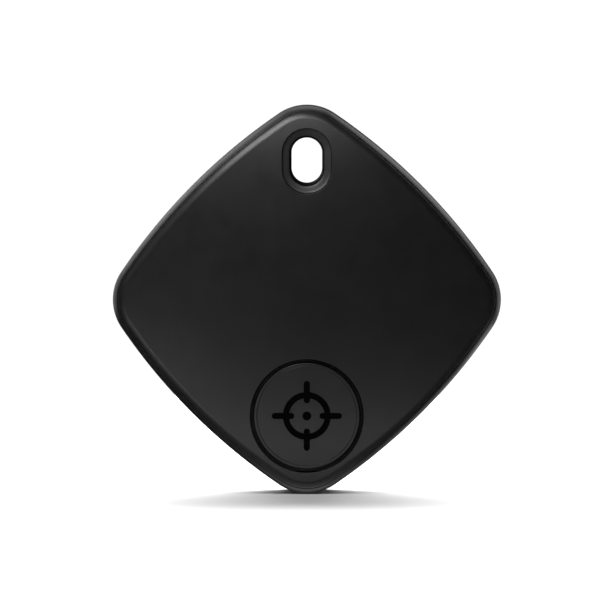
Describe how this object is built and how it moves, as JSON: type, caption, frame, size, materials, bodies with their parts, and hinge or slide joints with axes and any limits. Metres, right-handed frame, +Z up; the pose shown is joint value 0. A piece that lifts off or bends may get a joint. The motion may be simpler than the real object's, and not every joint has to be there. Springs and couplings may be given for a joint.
{
  "type": "bluetooth tracker tag",
  "caption": "Square tracker tag with bowed sides, keyring slot in its top corner, push button, snap-off back, coin cell, circuit board and sounder.",
  "frame": {"origin": "middle of the keyring slot, halfway through the case's thickness", "axes": "+Z up along the tag's upright diagonal, +X to the right and +Y to the rear for someone facing the button"},
  "size_m": [0.0456, 0.0086, 0.0457],
  "materials": {
    "shell_plastic": "satin black moulded ABS, fine spark-eroded texture",
    "button_plastic": "satin black moulded ABS",
    "glyph_ink": "gloss black",
    "silicone": "matt black silicone",
    "foam": "closed-cell dark foam",
    "frame_plastic": "matt dark moulded plastic",
    "cell_steel": "bright nickel-plated steel",
    "cell_gasket": "dark nylon",
    "cell_lithium": "dull silver metal",
    "cell_separator": "unwoven paper",
    "cell_cathode": "pressed dark powder",
    "solder_mask": "green solder mask on glass-fibre board",
    "chip_resin": "moulded black epoxy",
    "switch_plastic": "black nylon",
    "steel": "plated steel",
    "spring_bronze": "gold-plated spring bronze",
    "brass": "rolled brass",
    "piezo_ceramic": "silvered piezo ceramic",
    "antenna_ceramic": "white ceramic",
    "capacitor_ceramic": "tan ceramic with tinned ends",
    "resistor_film": "black glaze with tinned ends",
    "ferrite": "dark ferrite",
    "adhesive": "double-sided foam tape",
    "red_sleeve": "red wire sleeve",
    "black_sleeve": "black wire sleeve"
  },
  "bodies": {
    "case": {"front_shell": "shell_plastic", "case_seal": "silicone", "switch_base": "switch_plastic", "switch_cover": "steel", "switch_dome": "steel", "main_board": "solder_mask", "radio_chip": "chip_resin", "main_crystal": "steel", "clock_crystal": "steel", "chip_antenna": "antenna_ceramic", "sounder_transistor": "chip_resin", "boost_inductor": "ferrite", "capacitor_1": "capacitor_ceramic", "capacitor_2": "capacitor_ceramic", "capacitor_3": "capacitor_ceramic", "capacitor_4": "capacitor_ceramic", "capacitor_5": "capacitor_ceramic", "resistor_1": "resistor_film", "resistor_2": "resistor_film", "resistor_3": "resistor_film", "sounder_adhesive": "adhesive", "sounder_disc": "brass", "sounder_ceramic": "piezo_ceramic", "sounder_lead_red": "red_sleeve", "sounder_lead_black": "black_sleeve", "battery_frame": "frame_plastic", "positive_contact": "spring_bronze", "negative_contact": "spring_bronze", "board_screw_left": "steel", "board_screw_right": "steel"},
    "cover": {"rear_cover": "shell_plastic", "battery_pad": "foam"},
    "cell": {"coin_cell_can": "cell_steel", "coin_cell_cap": "cell_steel", "coin_cell_gasket": "cell_gasket", "coin_cell_anode": "cell_lithium", "coin_cell_separator": "cell_separator", "coin_cell_cathode": "cell_cathode"},
    "button": {"button_cap": "button_plastic", "button_icon": "glyph_ink", "button_icon_dot": "glyph_ink", "button_seal": "silicone"},
    "plunger": {"switch_plunger": "switch_plastic"}
  },
  "joints": [
    {"name": "button_press", "type": "slide", "parent": "case", "child": "button", "axis": [0, 1, 0], "range_m": [0, 0.00025], "stiffness_N_per_m": 6000, "springref_m": -0.0001},
    {"name": "switch_press", "type": "slide", "parent": "case", "child": "plunger", "axis": [0, 1, 0], "range_m": [0, 0.00025]},
    {"name": "cover_release", "type": "slide", "parent": "case", "child": "cover", "axis": [0, 1, 0], "range_m": [0, 0.016]},
    {"name": "cell_lift", "type": "slide", "parent": "case", "child": "cell", "axis": [0, 1, 0], "range_m": [0, 0.0064]}
  ],
  "couplings": [
    {"joint": "switch_press", "follows": "button_press", "ratio": 1},
    {"joint": "cell_lift", "follows": "cover_release", "ratio": 0.4}
  ]
}
